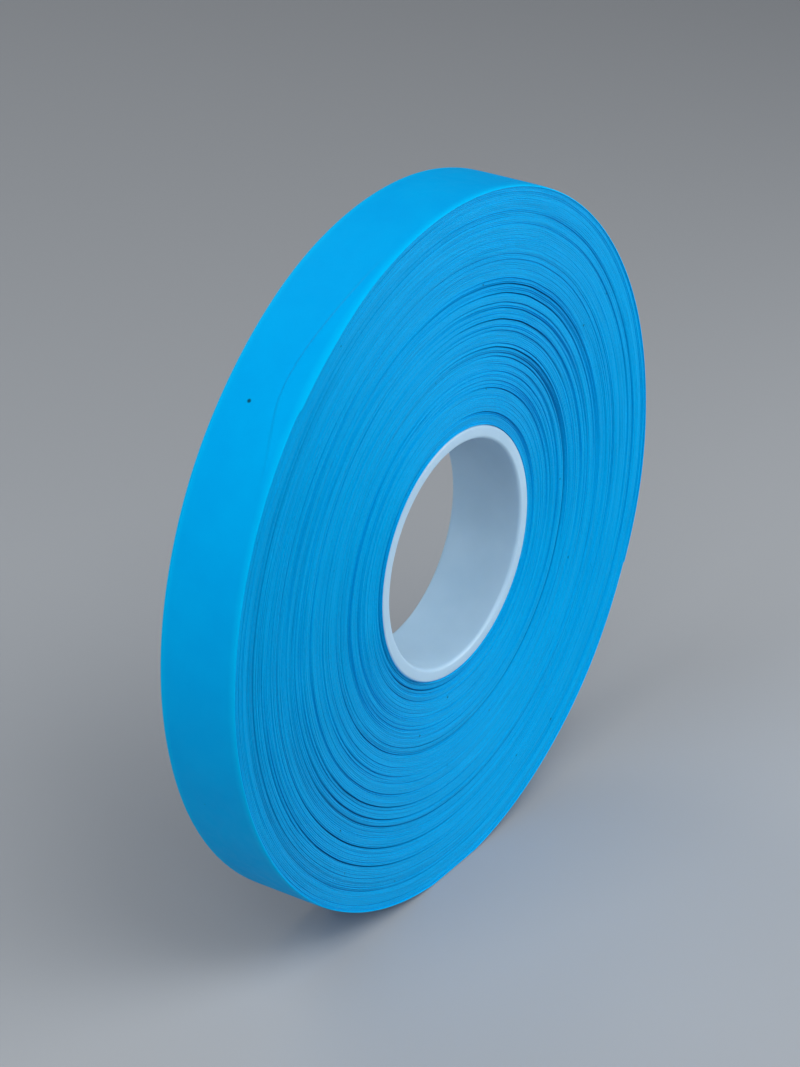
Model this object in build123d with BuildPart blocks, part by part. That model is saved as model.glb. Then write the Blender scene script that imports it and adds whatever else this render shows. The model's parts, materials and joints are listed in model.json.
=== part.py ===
"""Grip tape roll: one long strip of soft racket grip tape wound on a plastic core.

The core is a tube with rounded lips. The strip starts on the core under an adhesive tab and is
wound in one spiral until its free end lies on the outside. The spiral is cut into nodes where
the real winding shows a groove, into one outer turn, and into short links at the free end,
which peel away from the roll one after the other.

Frame: origin at the centre of the bore, +Y along the bore axis, +Z up, the roll standing on
its edge. Angles are measured from +X towards +Z. All lengths are in millimetres.
"""

from build123d import *
from math import cos, radians, sin
import os

# Core
bore_radius = 38.1
core_wall = 4.5
core_radius = bore_radius + core_wall
inner_lip_radius = 1.2
outer_lip_radius = 0.8

# Strip of tape
tape_width = 27.0
tape_thickness = 0.6
turns_to_groove = (4, 20, 42, 70, 92, 102, 128)
total_turns = 129
roll_radius = core_radius + total_turns * tape_thickness

# Where the winding is pressed flat by its own weight, as a height under the bore axis
flat_height = 118.9
flat_cut_size = 60.0

# Free end of the strip
tail_end_angle = 335.0
tail_links = 6
link_angle = 6.0
link_slit = 0.1
tail_air_gap = 0.1
tail_root_angle = tail_end_angle + tail_links * link_angle

# Adhesive tab that holds the first turn on the core
tab_thickness = 0.15
tab_width = 20.0
tab_angle = 27.0
tab_middle_angle = 215.0


def in_roll_plane(radius, angle):
    """Point of the roll's side plane at a radius and an angle in degrees."""
    return (radius * cos(radians(angle)), radius * sin(radians(angle)))


def spiral_turn(radius):
    """One closed turn of the spiral, drawn as two half circles and a step of one thickness.

    The turn starts outermost at the tail end's angle and loses one tape thickness on its way
    round, because the second half circle is centred half a thickness further back.
    """
    second_centre = in_roll_plane(-tape_thickness / 2, tail_end_angle)
    with BuildLine() as outline:
        first_half = CenterArc((0, 0), radius, tail_end_angle, 180)
        second_half = CenterArc(
            second_centre, radius - tape_thickness / 2, tail_end_angle + 180, 180
        )
        Line(second_half @ 1, first_half @ 0)
    make_face(outline.edges())


def wound_cylinder(radius, depth_under_surface, mode=Mode.ADD):
    """Everything wound inside one turn, with the flat that it stands on."""
    with BuildSketch(Plane.XZ) as turn:
        spiral_turn(radius)
        with Locations((0, depth_under_surface - flat_height)):
            Rectangle(
                flat_cut_size, flat_cut_size, align=(Align.CENTER, Align.MAX), mode=Mode.SUBTRACT
            )
    extrude(turn.sketch, amount=tape_width / 2, both=True, mode=mode)


def ring_sector(inner_radius, outer_radius, start_angle, end_angle):
    """Closed outline of a slice of a ring, with radial ends."""
    sweep_angle = end_angle - start_angle
    with BuildLine() as outline:
        inner_arc = CenterArc((0, 0), inner_radius, start_angle, sweep_angle)
        outer_arc = CenterArc((0, 0), outer_radius, start_angle, sweep_angle)
        Line(inner_arc @ 0, outer_arc @ 0)
        Line(inner_arc @ 1, outer_arc @ 1)
    make_face(outline.edges())


def write_part(builder, name):
    """Label a finished piece and write its file."""
    builder.part.label = name
    export_step(builder.part, f"parts/{name}.step")


def make_core():
    """Plastic tube with rounded lips, turned as one ring about the bore axis."""
    with BuildPart() as core:
        with BuildSketch(Plane.XY):
            with Locations((bore_radius, 0)):
                Rectangle(core_wall, tape_width, align=(Align.MIN, Align.CENTER))
            corners = vertices().group_by(Axis.X)
            fillet(corners[0], inner_lip_radius)
            fillet(corners[-1], outer_lip_radius)
        revolve(axis=Axis.Y)
    write_part(core, "core")


def make_start_tab():
    """Double-sided adhesive patch between the core and the first turn."""
    with BuildPart() as tab:
        with BuildSketch(Plane.XZ):
            ring_sector(
                core_radius,
                core_radius + tab_thickness,
                tab_middle_angle - tab_angle / 2,
                tab_middle_angle + tab_angle / 2,
            )
        extrude(amount=tab_width / 2, both=True)
    write_part(tab, "start_tab")
    return tab.part


def make_first_band(start_tab):
    """First turns on the core, hollowed for the core and for the adhesive tab."""
    with BuildPart() as band:
        wound_cylinder(core_radius + turns_to_groove[0] * tape_thickness, 0)
        Cylinder(core_radius, tape_width, rotation=(90, 0, 0), mode=Mode.SUBTRACT)
        add(start_tab, mode=Mode.SUBTRACT)
    write_part(band, "winding_band_1")


def make_winding_band(number):
    """Turns of the strip between one groove of the winding and the next."""
    inner_radius = core_radius + turns_to_groove[number - 2] * tape_thickness
    outer_radius = core_radius + turns_to_groove[number - 1] * tape_thickness
    with BuildPart() as band:
        wound_cylinder(outer_radius, tape_thickness)
        wound_cylinder(inner_radius, 0, mode=Mode.SUBTRACT)
    write_part(band, f"winding_band_{number}")


def make_outer_turn():
    """Last turn of the strip, from the root of the tail to the groove under the tail's end."""
    with BuildPart() as turn:
        wound_cylinder(roll_radius, 0)
        wound_cylinder(roll_radius - tape_thickness, tape_thickness, mode=Mode.SUBTRACT)
        with BuildSketch(Plane.XZ):
            ring_sector(
                core_radius, roll_radius + tape_thickness, tail_end_angle, tail_root_angle
            )
        extrude(amount=tape_width, both=True, mode=Mode.SUBTRACT)
    write_part(turn, "outer_turn")


def make_tail_link(number):
    """One stiff link of the free end, counted from its root, hinged at its outer surface."""
    root_angle = tail_root_angle - (number - 1) * link_angle
    half_slit_angle = Vector(roll_radius, 0).get_angle(Vector(roll_radius, link_slit / 2))
    tip_slit_angle = half_slit_angle if number < tail_links else 0
    with BuildPart() as link:
        with BuildSketch(Plane.XZ):
            ring_sector(
                roll_radius - tape_thickness + tail_air_gap,
                roll_radius,
                root_angle - link_angle + tip_slit_angle,
                root_angle - half_slit_angle,
            )
        extrude(amount=tape_width / 2, both=True)
    write_part(link, f"tail_link_{number}")


os.makedirs("parts", exist_ok=True)
make_core()
make_first_band(make_start_tab())
for band_number in range(2, len(turns_to_groove) + 1):
    make_winding_band(band_number)
make_outer_turn()
for link_number in range(1, tail_links + 1):
    make_tail_link(link_number)
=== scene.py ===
"""Looks of the grip tape roll: one strip of soft blue tape wound on a milky plastic core.

Every turn of the winding is real geometry. The sides are meshed turn by turn along the same
spiral as the CAD model, with the sideways shifts, gaps and ripples that a wound tape has. The
free end is a row of short strips, one over each of the tail's hinges.

Angles are measured from +X towards +Z, as seen from the front, which is the -Y side. The way
along the spiral is an angle too, counted from the free end. Lengths are in metres.
"""

import json
import math

import bpy
import numpy as np
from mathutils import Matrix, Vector


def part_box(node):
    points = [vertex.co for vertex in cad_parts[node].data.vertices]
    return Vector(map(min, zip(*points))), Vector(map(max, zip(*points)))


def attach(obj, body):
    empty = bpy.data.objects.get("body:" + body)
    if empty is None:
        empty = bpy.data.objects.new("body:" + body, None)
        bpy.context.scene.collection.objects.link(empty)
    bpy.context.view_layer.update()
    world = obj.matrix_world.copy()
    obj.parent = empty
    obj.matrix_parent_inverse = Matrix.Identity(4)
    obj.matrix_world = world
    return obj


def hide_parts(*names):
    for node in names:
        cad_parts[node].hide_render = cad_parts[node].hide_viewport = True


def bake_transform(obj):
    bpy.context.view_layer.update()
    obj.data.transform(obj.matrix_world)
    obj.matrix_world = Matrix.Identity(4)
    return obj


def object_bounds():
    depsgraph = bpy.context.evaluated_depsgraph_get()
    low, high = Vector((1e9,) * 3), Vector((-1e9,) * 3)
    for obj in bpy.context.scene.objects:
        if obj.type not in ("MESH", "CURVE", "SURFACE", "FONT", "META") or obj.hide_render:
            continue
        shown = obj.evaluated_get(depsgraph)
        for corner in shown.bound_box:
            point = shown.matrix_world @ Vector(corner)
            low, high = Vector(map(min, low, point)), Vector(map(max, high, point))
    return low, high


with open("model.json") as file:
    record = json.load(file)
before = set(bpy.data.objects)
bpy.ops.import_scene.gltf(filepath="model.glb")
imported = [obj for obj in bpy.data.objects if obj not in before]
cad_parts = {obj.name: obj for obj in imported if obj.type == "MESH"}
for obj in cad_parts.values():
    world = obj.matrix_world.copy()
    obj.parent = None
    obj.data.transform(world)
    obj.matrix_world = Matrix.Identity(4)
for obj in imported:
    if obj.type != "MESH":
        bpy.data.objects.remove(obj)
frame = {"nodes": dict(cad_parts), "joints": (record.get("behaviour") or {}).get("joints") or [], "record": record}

MM = 0.001
FULL_TURN = 2 * math.pi
FRONT, BACK = -1, 1

# ---------------------------------------------------------------- sizes from the frame

cad_low, cad_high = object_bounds()
bore = next(mount for mount in frame["record"]["mounts"] if mount["name"] == "bore")
hinges = frame["joints"]
band_names = sorted(name for name in frame["nodes"] if name.startswith("winding_band"))

tape_thickness = 0.6 * MM
tape_width = cad_high.y - cad_low.y
half_width = tape_width / 2
roll_radius = cad_high.z
flat_height = -cad_low.z
core_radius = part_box("core")[1].z
bore_radius = bore["dims"]["r_mm"] * MM
inner_lip_radius = (tape_width - bore["dims"]["length_mm"] * MM) / 2
outer_lip_radius = 0.8 * MM
tail_air_gap = 0.1 * MM
total_turns = round((roll_radius - core_radius) / tape_thickness)
band_turns = [round((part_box(name)[1].z - core_radius) / tape_thickness) for name in band_names]

hinge_angles = [math.atan2(hinge["pos_m"][2], hinge["pos_m"][0]) for hinge in hinges]
link_angle = hinge_angles[0] - hinge_angles[1]
tail_end_angle = hinge_angles[-1] - link_angle

# ---------------------------------------------------------------- the spiral

# Share of a thickness that is left where the first layer has tapered away against the core
TAPERED_END = 0.05

# The spiral is two half circles a turn, and the second has its centre half a thickness away
second_centre_x = -tape_thickness / 2 * math.cos(tail_end_angle)
second_centre_z = -tape_thickness / 2 * math.sin(tail_end_angle)


def spiral(layer, way):
    """X and Z on the spiral, so many layers of tape outside the core. One layer is lost over a
    full turn of the way, and the first layer tapers away against the core."""
    second_half = way > math.pi
    inside_core = np.clip(way / FULL_TURN - layer, 0, 1)
    radius = core_radius + tape_thickness * (layer + (1 - TAPERED_END) * inside_core)
    radius = radius - np.where(second_half, tape_thickness / 2, 0)
    angle = tail_end_angle + way
    x = radius * np.cos(angle) + np.where(second_half, second_centre_x, 0)
    z = radius * np.sin(angle) + np.where(second_half, second_centre_z, 0)
    return x, z


def press_flat(x, z):
    """Height of a point after the turns near the bottom have given way where the roll stands,
    less and less with depth inside the roll."""
    give_depth = 5 * MM
    outside = roll_radius - tape_thickness / 2
    bottom = second_centre_z - np.sqrt(np.maximum(outside**2 - (x - second_centre_x) ** 2, 0))
    overhang = np.maximum(-flat_height - bottom, 0)
    depth = np.maximum(outside - np.hypot(x - second_centre_x, z - second_centre_z), 0)
    return np.where(z < 0, z + overhang * np.exp(-depth / give_depth), z)


# ---------------------------------------------------------------- smooth random curves


def wander(seed, x, step):
    """Smooth random curve between -1 and 1, with a new value at every step along x."""
    place = np.maximum(x, 0) / step
    knot = np.floor(place).astype(int)
    values = np.random.default_rng(seed).uniform(-1, 1, knot.max() + 2)
    part = place - knot
    part = part * part * (3 - 2 * part)
    return values[knot] * (1 - part) + values[knot + 1] * part


def ripples(seed, angle, fewest, most):
    """Smooth random curve round the roll, of about unit height, that closes on itself."""
    random = np.random.default_rng(seed)
    total = 0 * angle
    for waves in range(fewest, most + 1):
        height = random.uniform(0.4, 1)
        total = total + height * np.cos(waves * angle + random.uniform(0, FULL_TURN))
    mean_square = 0.3 * (most - fewest + 1)
    return total / math.sqrt(mean_square)


def angle_from(angle, middle_deg):
    """Angle in degrees from a middle, between -180 and 180."""
    return (np.degrees(angle) - middle_deg + 180) % 360 - 180


def window(angle, middle_deg, reach_deg):
    """1 at the middle angle, fading to 0 at a reach either side of it."""
    return np.cos(np.clip(angle_from(angle, middle_deg) / reach_deg, -1, 1) * math.pi / 2) ** 2


def ramp(x, start, end):
    """Smooth step from 0 at the start to 1 at the end."""
    part = np.clip((x - start) / (end - start), 0, 1)
    return part * part * (3 - 2 * part)


def hump(x, middle, half):
    """Bell-shaped curve, 1 at its middle."""
    return np.exp(-(((x - middle) / half) ** 2))


# ---------------------------------------------------------------- how the winding is uneven

# Gaps between turns that were wound out of line, on the front and, mirrored, on the back:
# radius and depth in millimetres, then the middle and the reach of the gap in degrees
DEEP_GAPS = [
    (43.7, 0.6, 170, 70),
    (45.1, 0.9, 235, 90),
    (46.4, 0.6, 60, 70),
    (54.2, 0.7, 40, 70),
    (56.5, 0.3, 35, 40),
    (60.1, 0.5, 45, 60),
    (62.5, 0.4, 45, 45),
    (64.8, 0.6, 45, 60),
    (67.8, 1.0, 50, 95),
    (73.2, 0.5, 55, 75),
    (74.0, 0.4, 220, 60),
    (76.5, 0.3, 65, 55),
    (79.8, 0.4, 215, 75),
    (80.2, 0.4, 70, 60),
    (82.0, 0.4, 65, 60),
    (84.3, 1.0, 225, 85),
    (85.3, 0.8, 55, 80),
    (88.1, 1.0, 55, 80),
    (88.3, 0.7, 215, 60),
    (90.1, 0.4, 65, 60),
    (97.7, 0.9, 220, 90),
    (104.2, 0.9, 232, 70),
    (105.5, 0.7, 185, 50),
]
FAINT_GAPS = 80

# Broad hollows of the side: radius, depth and half-width in millimetres, then the middle and
# the reach of the hollow in degrees
HOLLOWS = [
    (44.4, 0.25, 1.1, 200, 400),
    (49.0, 0.35, 1.0, 228, 70),
    (112.0, 0.15, 6.0, 200, 120),
]

# How the tape wandered sideways as it was wound: size in millimetres, and after how many turns
# it takes a new course
SHIFTS = [(0.08, 0.83), (0.08, 2.3), (0.07, 4.1), (0.06, 14)]

# How far inside the side plane the tape's edges lie on the whole, and how much further out the
# innermost turn comes, in millimetres
MIDDLE_DEPTH, PROUD_AT_CORE = 0.28, 0.60


def faint_gaps(side):
    """Many shallow gaps at random places, in the same form as the deep ones."""
    random = np.random.default_rng(700 + side)
    lowest, highest = core_radius / MM + 3, roll_radius / MM - 8
    return [
        (
            random.uniform(lowest, highest),
            random.uniform(0.15, 0.4),
            random.uniform(0, 360),
            random.uniform(40, 130),
        )
        for _ in range(FAINT_GAPS)
    ]


def gap_depth(layer, side):
    """How much deeper than the tape's edges the gap between two turns is. The layer is that of
    the boundary between the turns, less the way gone, so that it runs on along the tape. Every
    gap is a little deep, and some stretches of each are deeper."""
    depth = 0.03 + 0.30 * np.maximum(wander(60 + side, layer, 0.7), 0) ** 2
    for radius, most, middle, reach in DEEP_GAPS + faint_gaps(side):
        way = (math.radians(middle) - tail_end_angle) % FULL_TURN
        boundary = round((radius * MM - core_radius) / tape_thickness + way / FULL_TURN)
        gone = (layer - boundary + way / FULL_TURN) * 360
        depth = depth + most * np.cos(np.clip(gone / reach, -1, 1) * math.pi / 2) ** 2
    return depth * MM


def edge_offset(layer, angle, side):
    """How deep inside the side plane the tape's edge lies. The layer runs on along the tape."""
    offset = 0 * layer
    for seed, (size, turns) in enumerate(SHIFTS, start=80 + 10 * side):
        offset = offset + size * wander(seed, layer, turns)
    radius = core_radius / MM + np.maximum(layer, 0) * tape_thickness / MM
    for middle_radius, depth, half, middle, reach in HOLLOWS:
        offset = offset + depth * hump(radius, middle_radius, half) * window(angle, middle, reach)
    proud = PROUD_AT_CORE * hump(radius, core_radius / MM, 0.7)
    return (MIDDLE_DEPTH + offset - proud) * MM


# Where the samples of one turn lie across it, from its inner to its outer face, how far the
# rounded edge of the tape has fallen back there, and their shares of the depth of a gap
SAMPLES = np.array([0.0, 0.17, 0.5, 0.83])
PER_TURN = len(SAMPLES)
ROUNDING = 0.08 * MM * np.abs(2 * SAMPLES - 1) ** 2.5
GAP_SHARES = np.array([1.0, 0.65, 0.1, 0.65])
STEPS_ROUND = 360


def side_depth(first_layer, last_layer, way, side):
    """Depth inside the side plane of every sample of the turns between two layers, as rows
    from the inside out and columns along the way."""
    angle = tail_end_angle + way
    boundary = np.arange(first_layer, last_layer + 1)[:, None] - way / FULL_TURN
    inner_turn = edge_offset(boundary, angle, side)
    outer_turn = edge_offset(boundary + 1, angle, side)
    gap = gap_depth(boundary, side)
    depth = np.empty(((last_layer - first_layer) * PER_TURN + 1, len(way)))
    depth[::PER_TURN] = np.maximum(inner_turn, outer_turn) + ROUNDING[0] + gap
    for sample in range(1, PER_TURN):
        nearest_gap = gap[:-1] if SAMPLES[sample] < 0.5 else gap[1:]
        depth[sample::PER_TURN] = (
            outer_turn[:-1] + ROUNDING[sample] + GAP_SHARES[sample] * nearest_gap
        )
    return depth


def slack_ripple(radius, angle):
    """How far the turns bulge outwards together where the tape was wound slack."""
    slack = 0.10 + 0.9 * window(angle, 65, 60) + 0.5 * window(angle, 222, 35)
    share = np.interp(radius / MM, [44, 60, 84, 112, 119], [0.05, 0.25, 1.0, 0.8, 0.0])
    waves = 0.06 * ripples(7, angle, 9, 17) + 0.04 * ripples(8, angle, 24, 40)
    return slack * share * waves * MM


# ---------------------------------------------------------------- mesh helpers


def quads_between(first, second):
    """Quads between two rows of point numbers, facing the row direction crossed with the
    direction from the first row to the second."""
    return np.stack([first[:-1], second[:-1], second[1:], first[1:]], axis=-1)


SHARP_EDGE = math.radians(60)


def new_piece(name, points, faces):
    """Smooth-shaded mesh object with sharp edges kept."""
    mesh = bpy.data.meshes.new(name)
    mesh.from_pydata(points.tolist(), [], [tuple(int(point) for point in face) for face in faces])
    mesh.polygons.foreach_set("use_smooth", np.ones(len(mesh.polygons), bool))
    mesh.set_sharp_from_angle(angle=SHARP_EDGE)
    piece = bpy.data.objects.new(name, mesh)
    bpy.context.scene.collection.objects.link(piece)
    return piece


# ---------------------------------------------------------------- the winding


def side_numbers(rows):
    """Point numbers on one side of a band. Its last column is its first one, a turn further
    in, and only the innermost turn ends there with points of its own."""
    number = np.empty((rows, STEPS_ROUND + 1), int)
    number[:, :-1] = np.arange(rows * STEPS_ROUND).reshape(rows, STEPS_ROUND)
    number[PER_TURN:, -1] = number[:-PER_TURN, 0]
    number[:PER_TURN, -1] = rows * STEPS_ROUND + np.arange(PER_TURN)
    return number


def side_points(first_layer, last_layer, side):
    """X, Y and Z of the samples on one side of a band."""
    way = np.linspace(0, FULL_TURN, STEPS_ROUND + 1)
    row = np.arange((last_layer - first_layer) * PER_TURN + 1)[:, None]
    layer = first_layer + row // PER_TURN + SAMPLES[row % PER_TURN]
    x, z = spiral(layer, way)
    radius = np.hypot(x, z)
    bulge = 1 + slack_ripple(radius, tail_end_angle + way) / radius
    x, z = x * bulge, z * bulge
    y = side * (half_width - side_depth(first_layer, last_layer, way, side))
    return np.stack([x, y, press_flat(x, z)], axis=-1)


def make_band(name, first_layer, last_layer, side_look, outside_look):
    """Closed band of the winding: two sides, the outer and inner faces, and the two small
    steps where its outermost and innermost turns end."""
    front_points = side_points(first_layer, last_layer, FRONT)
    front = side_numbers(len(front_points))
    size = front.max() + 1
    back = front + size
    points = np.empty((2 * size, 3))
    points[front] = front_points
    points[back] = side_points(first_layer, last_layer, BACK)
    faces = []
    for row in range(len(front) - 1):
        faces.append(quads_between(front[row], front[row + 1]))
        faces.append(quads_between(back[row + 1], back[row]))
    side_faces = len(faces) * STEPS_ROUND
    faces.append(quads_between(front[-1], back[-1]))
    faces.append(quads_between(back[0], front[0]))
    faces.append(quads_between(front[-PER_TURN - 1 :, 0], back[-PER_TURN - 1 :, 0]))
    faces.append(quads_between(back[: PER_TURN + 1, -1], front[: PER_TURN + 1, -1]))
    band = new_piece(name, points, np.concatenate(faces))
    band.data.materials.append(side_look)
    band.data.materials.append(outside_look)
    outside = np.arange(len(band.data.polygons)) >= side_faces
    band.data.polygons.foreach_set("material_index", outside.astype(int))
    return band


# ---------------------------------------------------------------- the outer turn and the tail

CORNER_ACROSS, CORNER_BELOW = 0.90 * MM, 0.38 * MM
INNER_CORNER = 0.10 * MM
CORNER_STEPS = 6
STEPS_TO_EDGE, STEPS_UNDERNEATH = 60, 9
STEPS_OUTER_TURN, STEPS_TAIL_STRIP = 480, 20

# Angles in degrees on the front edge: the jog, and the deepest and the middle of the crease
JOG, CREASE_DEEPEST, CREASE_MIDDLE = 136.4, 133, 128


def strip_outline(thickness):
    """Cross-section of the tape as places across it and depths below its outer surface, from
    the middle of the outside to the back edge, underneath to the front edge, and back."""
    turn = np.linspace(0, math.pi / 2, CORNER_STEPS)
    flat = np.linspace(0, half_width - CORNER_ACROSS, STEPS_TO_EDGE)
    underneath = np.linspace(half_width - CORNER_ACROSS, 0, STEPS_UNDERNEATH)
    outer_corner = half_width - CORNER_ACROSS * (1 - np.sin(turn))
    inner_corner = half_width - INNER_CORNER * (1 - np.cos(turn))
    across = np.concatenate([flat[:-1], outer_corner, inner_corner, underneath])
    outer_fall = CORNER_BELOW * (1 - np.cos(turn))
    inner_fall = thickness - INNER_CORNER * (1 - np.sin(turn))
    below = np.concatenate([0 * flat[:-1], outer_fall, inner_fall, thickness + 0 * underneath])
    mirrored = slice(-2, 0, -1)
    return np.append(across, -across[mirrored]), np.append(below, below[mirrored])


def edge_line(angle, side):
    """How far the outer turn's edge stands out of the side plane, round the roll. On the
    front, the tape stands out most above a small jog."""
    line = 0.10 + 0.05 * ripples(90 + side, angle, 2, 12)
    if side == FRONT:
        above_jog = ramp(angle_from(angle, 112), 0, 15) * ramp(angle_from(angle, JOG), 0, -1.8)
        line = line + 0.60 * above_jog
    return line * MM


def outside_relief(across, angle):
    """How far the outside of the tape rises or falls: rolled edges, a swelling along the front
    edge that ends in a crease, and faint waves. It is worked out in millimetres and degrees."""
    from_front = (half_width + across) / MM
    from_back = (half_width - across) / MM
    rolled = 0.12 + 0.25 * window(angle, 95, 75)
    relief = -rolled * np.exp(-from_front / 1.6) - 0.10 * np.exp(-from_back / 1.6)
    from_deepest = angle_from(angle, CREASE_DEEPEST)
    crease = 2.6 + 4.8 * hump(from_deepest, 0, np.where(from_deepest < 0, 15, 8))
    creased = window(angle, CREASE_MIDDLE, 24)
    swelling = np.where(from_front < crease, from_front / crease, 0)
    swelling = swelling + (from_front >= crease) * ramp(crease - from_front, -1.0, 0)
    relief = relief + 0.70 * creased * swelling
    relief = relief - 0.30 * creased * np.maximum(1 - from_front / crease, 0)
    relief = relief + 0.03 * ripples(95, angle, 5, 30) * np.cos(2 * across / half_width)
    return (relief + 0.04 * ripples(96, angle, 2, 9)) * MM


def strip_ring(angle, thickness):
    """Points of the tape's cross-section at an angle on the outermost turn."""
    across, below = strip_outline(thickness)
    relief = outside_relief(across, angle) * (1 - 0.7 * below / thickness)
    layer = total_turns - (below - relief) / tape_thickness
    x, z = spiral(layer, np.full(len(layer), angle - tail_end_angle))
    near_edge = ramp(np.abs(across), half_width - 3 * MM, half_width)
    stand_out = np.where(across < 0, -edge_line(angle, FRONT), edge_line(angle, BACK))
    return np.stack([x, across + near_edge * stand_out, press_flat(x, z)], axis=-1)


def make_strip(name, start_angle, end_angle, steps, thickness):
    """Closed length of tape on the outermost turn, from one angle up to another."""
    angles = np.linspace(start_angle, end_angle, steps + 1)
    rings = np.array([strip_ring(angle, thickness) for angle in angles])
    number = np.arange(rings[..., 0].size).reshape(rings.shape[:2])
    closed = np.hstack([number, number[:, :1]])
    faces = [quad for low, high in zip(closed, closed[1:]) for quad in quads_between(high, low)]
    return new_piece(name, rings.reshape(-1, 3), [number[0, ::-1], number[-1]] + faces)


def on_roll(angle):
    """Point on the roll's outside, midway across it."""
    return (roll_radius * math.cos(angle), 0, roll_radius * math.sin(angle))


def make_outer_turn():
    """The last turn, from just before the tail's root to the tape under the tail's end."""
    start, end = hinge_angles[0] + link_angle / 2, tail_end_angle + FULL_TURN
    piece = make_strip("outer_turn_tape", start, end, STEPS_OUTER_TURN, tape_thickness)
    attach(piece, "roll")
    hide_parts("outer_turn")
    return piece


# How many links before and after its hinge each strip of the tail is meant to bend, the root
# flat on the roll and further out bends that run into each other, so that a peeled tail would curl in an arc. Only
# the count of the entries is used here: one strip for each.
BEND_REACHES = [(0.2, 0.5), (0.5, 1.0)] + 4 * [(1.44, 1.44)]
STRIP_OVERLAP = 0.1 * MM


def make_tail():
    """The free end: strips that meet between the hinges, each over its own hinge."""
    thickness = tape_thickness - tail_air_gap
    bodies = ["roll"] + [hinge["child"] for hinge in hinges]
    folds = []
    for number, (before, after) in enumerate(BEND_REACHES, start=1):
        middle = hinge_angles[number - 1]
        high = middle + link_angle / 2
        low = middle - link_angle / 2 - STRIP_OVERLAP / roll_radius
        if number == len(hinges):
            low = tail_end_angle
        fold = make_strip(f"tail_fold_{number}", low, high, STEPS_TAIL_STRIP, thickness)
        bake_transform(fold)
        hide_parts(bodies[number])
        folds.append(fold)
    return folds


# ---------------------------------------------------------------- the core


LIP_STEPS, WALL_STEPS, CORE_STEPS_ROUND = 9, 9, 240


def make_core():
    """The plastic tube, turned from a profile with rounded lips."""
    turn = np.linspace(0, math.pi / 2, LIP_STEPS)
    wall_end = half_width - 2 * inner_lip_radius
    wall = np.linspace(-wall_end, wall_end, WALL_STEPS)
    inner_lip = bore_radius + inner_lip_radius * (1 - np.cos(turn))
    outer_lip = core_radius - outer_lip_radius * (1 - np.sin(turn))
    lip = np.append(inner_lip, outer_lip)
    inner_end = half_width - inner_lip_radius * (1 - np.sin(turn))
    outer_end = half_width - outer_lip_radius * (1 - np.cos(turn))
    end = np.append(inner_end, outer_end)
    radius = np.concatenate([np.full(len(wall), bore_radius), lip, lip[::-1]])
    across = np.concatenate([wall, end, -end[::-1]])
    angle = np.linspace(0, FULL_TURN, CORE_STEPS_ROUND, endpoint=False)[:, None]
    y = across + 0 * angle
    points = np.stack([radius * np.cos(angle), y, radius * np.sin(angle)], axis=-1)
    number = np.arange(y.size).reshape(y.shape)
    number = np.vstack([number, number[:1]])
    closed = np.hstack([number, number[:, :1]])
    faces = [quad for low, high in zip(closed, closed[1:]) for quad in quads_between(low, high)]
    piece = new_piece("core_tube", points.reshape(-1, 3), faces)
    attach(piece, "roll")
    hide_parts("core")
    return piece


# ---------------------------------------------------------------- materials


def start_material(name):
    """New material, its node tree and its shader."""
    material = bpy.data.materials.new(name)
    material.use_nodes = True
    return material, material.node_tree, material.node_tree.nodes["Principled BSDF"]


def place_on_object(tree):
    """Coordinates on the object, in metres."""
    return tree.nodes.new("ShaderNodeTexCoord").outputs["Object"]


def noise(tree, place, scale, detail=3.0, roughness=0.55):
    """Noise with so many blobs to the metre."""
    node = tree.nodes.new("ShaderNodeTexNoise")
    node.inputs["Scale"].default_value = scale
    node.inputs["Detail"].default_value = detail
    node.inputs["Roughness"].default_value = roughness
    tree.links.new(place, node.inputs["Vector"])
    return node.outputs["Fac"]


def spread(tree, value, low=0.3, high=0.7, to_low=0.0, to_high=1.0):
    """Map one range of values to another, held at both ends."""
    node = tree.nodes.new("ShaderNodeMapRange")
    numbers = {"From Min": low, "From Max": high, "To Min": to_low, "To Max": to_high}
    for name, number in numbers.items():
        node.inputs[name].default_value = number
    tree.links.new(value, node.inputs["Value"])
    return node.outputs["Result"]


def mix(tree, factor, first, second):
    """Mix of two colours, where the first may be the output of another node."""
    node = tree.nodes.new("ShaderNodeMix")
    node.data_type = "RGBA"
    factor_in, first_in, second_in = node.inputs[0], node.inputs[6], node.inputs[7]
    tree.links.new(factor, factor_in)
    if isinstance(first, tuple):
        first_in.default_value = (*first, 1)
    else:
        tree.links.new(first, first_in)
    second_in.default_value = (*second, 1)
    return node.outputs[2]


def across_roll(tree, place):
    """Distance from the middle of the roll's width, to either side."""
    parts = tree.nodes.new("ShaderNodeSeparateXYZ")
    tree.links.new(place, parts.inputs[0])
    distance = tree.nodes.new("ShaderNodeMath")
    distance.operation = "ABSOLUTE"
    tree.links.new(parts.outputs["Y"], distance.inputs[0])
    return distance.outputs[0]


def winding_streaks(tree, place, across_scale, along_scale):
    """Fine noise drawn out into streaks round the bore, across_scale streaks to the metre."""
    flat = tree.nodes.new("ShaderNodeVectorMath")
    flat.operation = "MULTIPLY"
    flat.inputs[1].default_value = (1, 0, 1)
    tree.links.new(place, flat.inputs[0])
    radius = tree.nodes.new("ShaderNodeVectorMath")
    radius.operation = "LENGTH"
    tree.links.new(flat.outputs["Vector"], radius.inputs[0])
    drawn_out = tree.nodes.new("ShaderNodeVectorMath")
    drawn_out.operation = "MULTIPLY_ADD"
    share = along_scale / across_scale
    drawn_out.inputs[1].default_value = (share, share, share)
    tree.links.new(place, drawn_out.inputs[0])
    tree.links.new(radius.outputs["Value"], drawn_out.inputs[2])
    return noise(tree, drawn_out.outputs["Vector"], across_scale, 2, 0.6)


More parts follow.
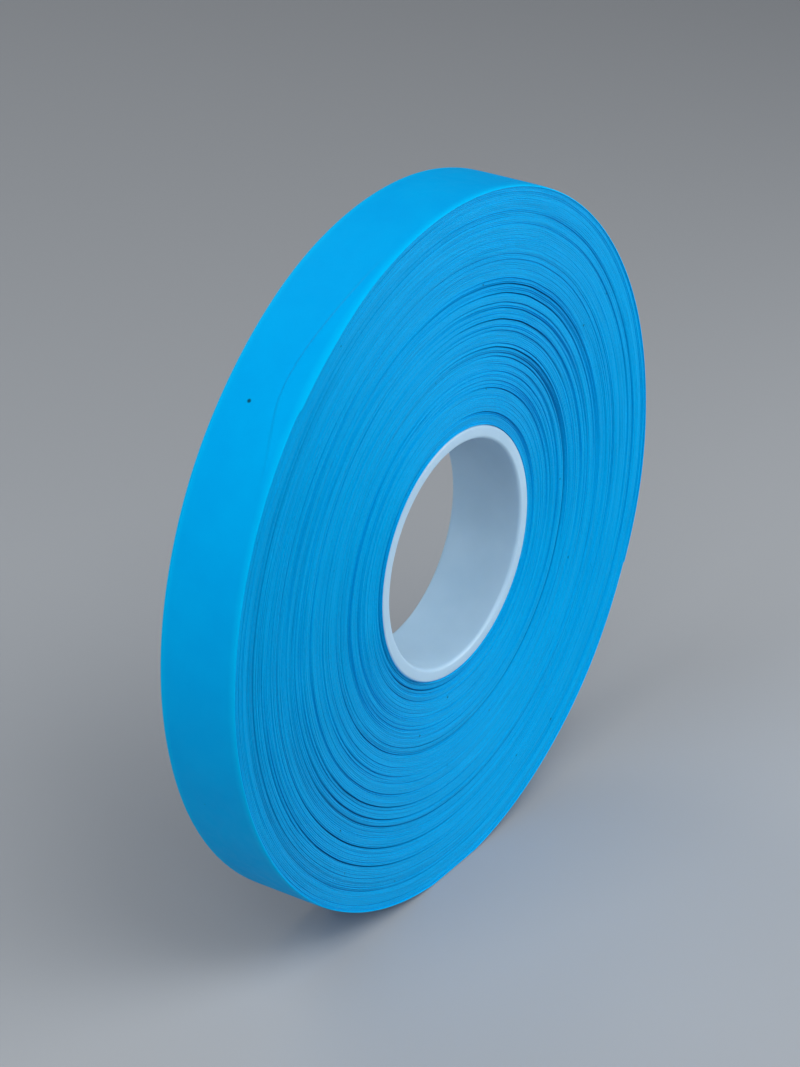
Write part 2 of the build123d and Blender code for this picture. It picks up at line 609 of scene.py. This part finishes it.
def spot(tree, place, angle_deg, across, half):
    """1 inside a small round mark on the outside of the roll, fading to 0 round it."""
    angle = math.radians(angle_deg)
    distance = tree.nodes.new("ShaderNodeVectorMath")
    distance.operation = "DISTANCE"
    x, y, z = on_roll(angle)
    distance.inputs[1].default_value = (x, across, z)
    tree.links.new(place, distance.inputs[0])
    return spread(tree, distance.outputs["Value"], 0.6 * half, 1.4 * half, 1, 0)


def add_bump(tree, shader, height, distance, strength):
    """Fine relief over any relief that the shader already has."""
    node = tree.nodes.new("ShaderNodeBump")
    node.inputs["Distance"].default_value = distance
    node.inputs["Strength"].default_value = strength
    tree.links.new(height, node.inputs["Height"])
    if shader.inputs["Normal"].is_linked:
        tree.links.new(shader.inputs["Normal"].links[0].from_socket, node.inputs["Normal"])
    tree.links.new(node.outputs["Normal"], shader.inputs["Normal"])


TAPE_BLUE = (0.0, 0.385, 0.84)
TAPE_PALE_BLUE = (0.0, 0.45, 0.90)
TAPE_DEEP_BLUE = (0.0, 0.33, 0.72)
# Painted shade for the hollows of the streaks on the cut edges
TAPE_STREAK_SHADE_BLUE = (0.0, 0.20, 0.50)
# Painted shade deep inside the gaps between turns
TAPE_GAP_SHADE_BLUE = (0.0, 0.14, 0.38)
# Painted highlight for the rounded rim of the tape's outside
TAPE_RIM_HIGHLIGHT_BLUE = (0.0, 0.56, 0.98)
DIRT = (0.005, 0.08, 0.14)
SHEEN_BLUE = (0.0, 0.7, 1.0, 1)
CORE_MILKY = (0.42, 0.60, 0.76)
CORE_PALE = (0.48, 0.66, 0.82)
TAB_CREAM = (0.72, 0.70, 0.62)
TAB_PALE_CREAM = (0.84, 0.82, 0.75)
FLOOR_GREY = (0.43, 0.425, 0.44, 1)
SKY_WHITE = (0.85, 0.9, 1.0, 1)
LAMP_WHITE = (0.90, 0.97, 1.0)


def outside_material():
    """Smooth, soft outside of the tape: faintly mottled, paler near its edges as a painted
    highlight of the rounded rim, with a small dirt mark and a fainter one."""
    material, tree, shader = start_material("tape_outside")
    place = place_on_object(tree)
    mottle = spread(tree, noise(tree, place, 70, 4), to_high=0.5)
    colour = mix(tree, mottle, TAPE_BLUE, TAPE_PALE_BLUE)
    colour = mix(tree, spot(tree, place, 136, 3.4 * MM, 0.6 * MM), colour, DIRT)
    colour = mix(tree, spot(tree, place, 200, 4.0 * MM, 0.35 * MM), colour, TAPE_DEEP_BLUE)
    # Paler band along both edges of the outside: a painted highlight of the rounded rim
    edge = spread(tree, across_roll(tree, place), half_width - 2.2 * MM, half_width, to_high=0.55)
    colour = mix(tree, edge, colour, TAPE_RIM_HIGHLIGHT_BLUE)
    tree.links.new(colour, shader.inputs["Base Color"])
    roughness = spread(tree, noise(tree, place, 220), to_low=0.50, to_high=0.64)
    tree.links.new(roughness, shader.inputs["Roughness"])
    shader.inputs["Specular IOR Level"].default_value = 0.06
    shader.inputs["Specular Tint"].default_value = SHEEN_BLUE
    add_bump(tree, shader, noise(tree, place, 350, 2), 0.03 * MM, 0.5)
    add_bump(tree, shader, noise(tree, place, 2600, 4), 0.02 * MM, 0.5)
    return material


def side_material():
    """Cut edges of the wound tape, with the grain of cut foam, streaks along the turns that are
    darker in their hollows as painted shade, painted shade deep inside the gaps and a few dark specks."""
    material, tree, shader = start_material("tape_side")
    place = place_on_object(tree)
    grain = spread(tree, noise(tree, place, 1600, 4, 0.7))
    streaks = winding_streaks(tree, place, 1300, 22)
    colour = mix(tree, grain, TAPE_DEEP_BLUE, TAPE_PALE_BLUE)
    # The streaks' hollows are darker: painted shade
    colour = mix(tree, spread(tree, streaks, 0.2, 0.5, 0.45, 0), colour, TAPE_STREAK_SHADE_BLUE)
    # Deep inside the gaps between turns the colour is darker: painted shade
    deep, shallow = half_width - 1.0 * MM, half_width - 0.48 * MM
    gap_shade = spread(tree, across_roll(tree, place), deep, shallow, 1, 0)
    colour = mix(tree, gap_shade, colour, TAPE_GAP_SHADE_BLUE)
    specks = tree.nodes.new("ShaderNodeTexVoronoi")
    specks.inputs["Scale"].default_value = 90
    tree.links.new(place, specks.inputs["Vector"])
    speck = spread(tree, specks.outputs["Distance"], 0.02, 0.05, 0.8, 0)
    colour = mix(tree, speck, colour, DIRT)
    tree.links.new(colour, shader.inputs["Base Color"])
    tree.links.new(spread(tree, grain, 0, 1, 0.38, 0.52), shader.inputs["Roughness"])
    shader.inputs["Specular IOR Level"].default_value = 0.15
    shader.inputs["Specular Tint"].default_value = SHEEN_BLUE
    round_the_bore = tree.nodes.new("ShaderNodeTangent")
    round_the_bore.direction_type = "RADIAL"
    round_the_bore.axis = "Y"
    tree.links.new(round_the_bore.outputs["Tangent"], shader.inputs["Tangent"])
    shader.inputs["Anisotropic"].default_value = 0.85
    shader.inputs["Anisotropic Rotation"].default_value = 0.25
    add_bump(tree, shader, streaks, 0.45 * MM, 1.0)
    add_bump(tree, shader, grain, 0.08 * MM, 0.6)
    return material


def core_material():
    """Milky plastic that lets a little light through."""
    material, tree, shader = start_material("core_plastic")
    place = place_on_object(tree)
    colour = mix(tree, spread(tree, noise(tree, place, 45)), CORE_MILKY, CORE_PALE)
    tree.links.new(colour, shader.inputs["Base Color"])
    roughness = spread(tree, noise(tree, place, 300), to_low=0.3, to_high=0.4)
    tree.links.new(roughness, shader.inputs["Roughness"])
    shader.inputs["Subsurface Weight"].default_value = 0.3
    shader.inputs["Subsurface Radius"].default_value = (0.8, 1.0, 1.2)
    shader.inputs["Subsurface Scale"].default_value = 2 * MM
    add_bump(tree, shader, noise(tree, place, 900), 0.02 * MM, 0.4)
    return material


def tab_material():
    """Cream adhesive patch, hidden under the first turn."""
    material, tree, shader = start_material("adhesive_tab")
    fibre = spread(tree, noise(tree, place_on_object(tree), 800, 5))
    colour = mix(tree, fibre, TAB_CREAM, TAB_PALE_CREAM)
    tree.links.new(colour, shader.inputs["Base Color"])
    shader.inputs["Roughness"].default_value = 0.8
    add_bump(tree, shader, fibre, 0.05 * MM, 0.5)
    return material


# ---------------------------------------------------------------- stage, lights and camera


def make_stage():
    """Plain pale floor just under the roll's flat, and faint light from all round."""
    bpy.ops.mesh.primitive_plane_add(size=14, location=(0, 0, cad_low.z - 0.02 * MM))
    floor = bpy.context.object
    floor.name = "floor"
    material, _, shader = start_material("floor_paper")
    shader.inputs["Base Color"].default_value = FLOOR_GREY
    shader.inputs["Roughness"].default_value = 0.6
    floor.data.materials.append(material)
    world = bpy.data.worlds.new("studio")
    world.use_nodes = True
    background = world.node_tree.nodes["Background"]
    background.inputs["Color"].default_value = SKY_WHITE
    background.inputs["Strength"].default_value = 0.10
    bpy.context.scene.world = world


def direction(azimuth_deg, height_deg):
    """Unit vector away from the roll, at an azimuth that is 0 in front and grows to the right,
    and at an angle of height above the floor."""
    azimuth, height = math.radians(azimuth_deg), math.radians(height_deg)
    level = math.cos(height)
    return Vector((math.sin(azimuth) * level, -math.cos(azimuth) * level, math.sin(height)))


def make_light(name, azimuth_deg, height_deg, power, size=0.8, distance=1.6):
    """Soft square light that faces the roll."""
    towards = direction(azimuth_deg, height_deg)
    light = bpy.data.lights.new(name, "AREA")
    light.size = size
    light.energy = power
    light.color = LAMP_WHITE
    lamp = bpy.data.objects.new(name, light)
    lamp.location = towards * distance
    lamp.rotation_euler = towards.to_track_quat("Z", "Y").to_euler()
    bpy.context.scene.collection.objects.link(lamp)


def make_camera():
    """Level camera with a long lens, a little above the roll and to the left of its front.
    Its place and lens are those that fit the photo's outlines best."""
    distance = 8.6 * roll_radius
    target = Vector((-0.1064, 0, 0.0766)) * roll_radius
    back = direction(-56.15, 27.46)
    camera = bpy.data.cameras.new("camera")
    camera.sensor_width = 36
    camera.lens = 109.9
    holder = bpy.data.objects.new("camera", camera)
    holder.location = target + back * distance
    holder.rotation_euler = back.to_track_quat("Z", "Y").to_euler()
    bpy.context.scene.collection.objects.link(holder)
    bpy.context.scene.camera = holder


# ---------------------------------------------------------------- putting it together

make_camera()
make_stage()
make_light("right", 35, 15, 4, size=0.5, distance=0.8)
make_light("top", -20, 60, 9)
make_light("left_top", -90, 60, 6)
make_light("left", -100, 25, 5)
make_light("left_front", -55, 35, 4)
make_light("back", 165, 35, 4)
bpy.context.scene.view_settings.view_transform = "Standard"

tape_side = side_material()
tape_outside = outside_material()
for band_name, first, last in zip(band_names, [0] + band_turns, band_turns):
    band = make_band(band_name + "_tape", first, last, tape_side, tape_outside)
    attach(band, "roll")
    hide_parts(band_name)

for strip in [make_outer_turn()] + make_tail():
    strip.data.materials.append(tape_outside)

core = make_core()
core.data.materials.append(core_material())

start_tab = frame["nodes"]["start_tab"]
start_tab.data.materials.clear()
start_tab.data.materials.append(tab_material())
